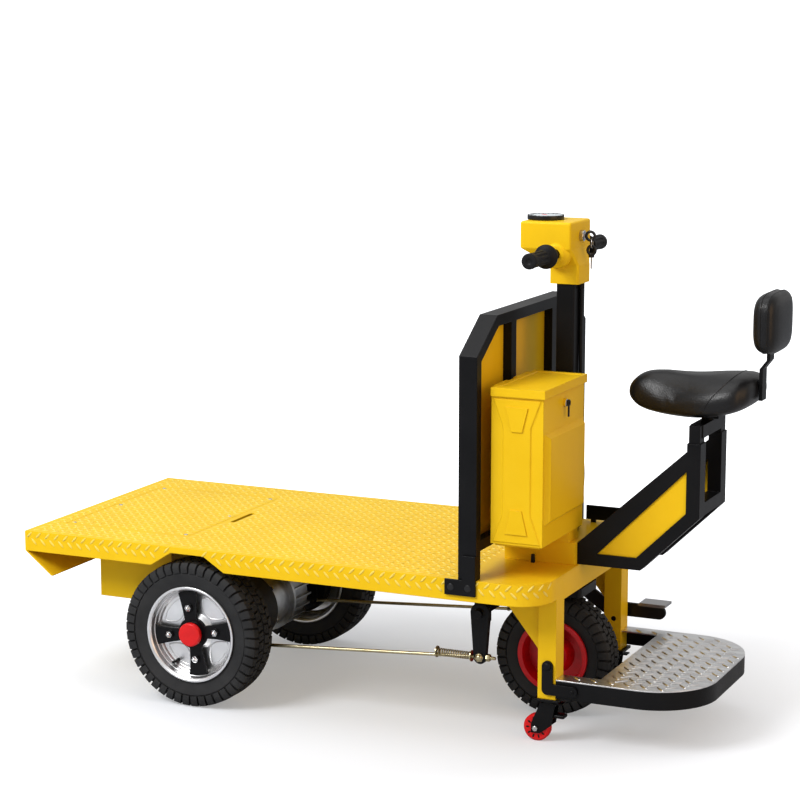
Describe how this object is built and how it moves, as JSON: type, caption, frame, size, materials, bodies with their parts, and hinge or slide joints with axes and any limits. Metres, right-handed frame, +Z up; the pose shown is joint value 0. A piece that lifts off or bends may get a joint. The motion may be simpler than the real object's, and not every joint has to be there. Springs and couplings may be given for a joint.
{
  "type": "electric platform cart",
  "caption": "Ride-on electric platform cart: low tread-plate deck on driven rear wheels, steered front wheel, guard rail, battery box, saddle and folding footboard.",
  "frame": {"origin": "on the floor under the middle of the cart's box", "axes": "+X towards the operator's seat, +Y towards the brake pedal side, +Z up"},
  "size_m": [1.814, 0.712, 1.196],
  "materials": {
    "yellow_paint": "glossy powder coat",
    "black_paint": "satin powder coat",
    "tyre_rubber": "matt moulded rubber",
    "silver_rim": "polished alloy",
    "red_paint": "glossy paint on a pressed rim",
    "red_plastic": "moulded gloss",
    "tread_steel": "bright tread plate",
    "zinc_steel": "yellow zinc plate",
    "cast_iron": "black painted casting",
    "motor_alloy": "bare cast alloy",
    "black_vinyl": "grained vinyl over foam",
    "black_rubber": "ribbed moulded rubber",
    "gauge_plastic": "black bezel with a clear lens",
    "battery_case": "moulded case"
  },
  "bodies": {
    "chassis": {"axle_brackets": "black_paint", "axle_housing": "cast_iron", "battery_box": "yellow_paint", "battery_bracket": "yellow_paint", "battery_pack": "battery_case", "brake_drums": "black_paint", "brake_pedal": "tread_steel", "brake_rods": "zinc_steel", "brake_shaft": "black_paint", "caster_plates": "black_paint", "controller_tray": "yellow_paint", "deck_hatch": "yellow_paint", "deck_plate": "yellow_paint", "drive_motor": "motor_alloy", "front_beam": "yellow_paint", "front_legs": "yellow_paint", "latch_bar": "black_paint", "leg_gussets": "yellow_paint", "rail_brackets": "black_paint", "rail_frame": "black_paint", "rail_panels": "yellow_paint", "rear_brake_levers": "black_paint", "seat_frame": "black_paint", "seat_panels": "yellow_paint", "shaft_hangers": "black_paint", "steering_base": "yellow_paint", "underframe": "yellow_paint"},
    "rear_wheel_near": {"rear_tyre_near": "tyre_rubber", "rear_rim_near": "silver_rim", "wheel_spider_near": "black_paint", "hub_cap_near": "red_plastic"},
    "rear_wheel_far": {"rear_tyre_far": "tyre_rubber", "rear_rim_far": "silver_rim", "wheel_spider_far": "black_paint", "hub_cap_far": "red_plastic"},
    "steering": {"steering_column": "black_paint", "steering_head": "yellow_paint", "gauge": "gauge_plastic", "handlebar": "black_paint", "grips": "black_rubber", "ignition_lock": "zinc_steel", "column_cable": "black_rubber", "front_fork": "black_paint"},
    "front_wheel": {"front_tyre": "tyre_rubber", "front_rim": "red_paint"},
    "caster_near": {"caster_fork_near": "black_paint"},
    "caster_far": {"caster_fork_far": "black_paint"},
    "caster_roller_near": {"caster_wheel_near": "red_plastic"},
    "caster_roller_far": {"caster_wheel_far": "red_plastic"},
    "footboard": {"footboard_band": "black_paint", "footboard_plate": "tread_steel", "footboard_links": "black_paint"},
    "battery_lid": {"battery_lid": "yellow_paint"},
    "seat": {"seat_bracket": "black_paint", "saddle_clamp": "black_paint", "saddle": "black_vinyl", "backrest_bar": "black_paint", "backrest_pad": "black_vinyl"}
  },
  "joints": [
    {"name": "rear_wheel_near_spin", "type": "hinge", "parent": "chassis", "child": "rear_wheel_near", "pos_m": [-0.448, -0.297, 0.18], "axis": [0, 1, 0], "continuous": true},
    {"name": "rear_wheel_far_spin", "type": "hinge", "parent": "chassis", "child": "rear_wheel_far", "pos_m": [-0.448, 0.297, 0.18], "axis": [0, 1, 0], "continuous": true},
    {"name": "steering_turn", "type": "hinge", "parent": "chassis", "child": "steering", "pos_m": [0.391, 0, 0.42], "axis": [0, 0, 1], "range_deg": [-45, 45]},
    {"name": "front_wheel_spin", "type": "hinge", "parent": "steering", "child": "front_wheel", "pos_m": [0.369, 0, 0.145], "axis": [0, 1, 0], "continuous": true},
    {"name": "caster_near_swivel", "type": "hinge", "parent": "chassis", "child": "caster_near", "pos_m": [0.437, -0.225, 0.1], "axis": [0, 0, 1], "continuous": true},
    {"name": "caster_near_roll", "type": "hinge", "parent": "caster_near", "child": "caster_roller_near", "pos_m": [0.407, -0.225, 0.032], "axis": [0, 1, 0], "continuous": true},
    {"name": "caster_far_swivel", "type": "hinge", "parent": "chassis", "child": "caster_far", "pos_m": [0.437, 0.225, 0.1], "axis": [0, 0, 1], "continuous": true},
    {"name": "caster_far_roll", "type": "hinge", "parent": "caster_far", "child": "caster_roller_far", "pos_m": [0.407, 0.225, 0.032], "axis": [0, 1, 0], "continuous": true},
    {"name": "footboard_fold", "type": "hinge", "parent": "chassis", "child": "footboard", "pos_m": [0.44, 0, 0.187], "axis": [0, -1, 0], "range_deg": [0, 50]},
    {"name": "battery_lid_hinge", "type": "hinge", "parent": "chassis", "child": "battery_lid", "pos_m": [0.3167, -0.184, 0.831], "axis": [0, -1, 0], "range_deg": [0, 90]},
    {"name": "seat_height", "type": "slide", "parent": "chassis", "child": "seat", "axis": [0, 0, 1], "range_m": [0, 0.08]}
  ]
}
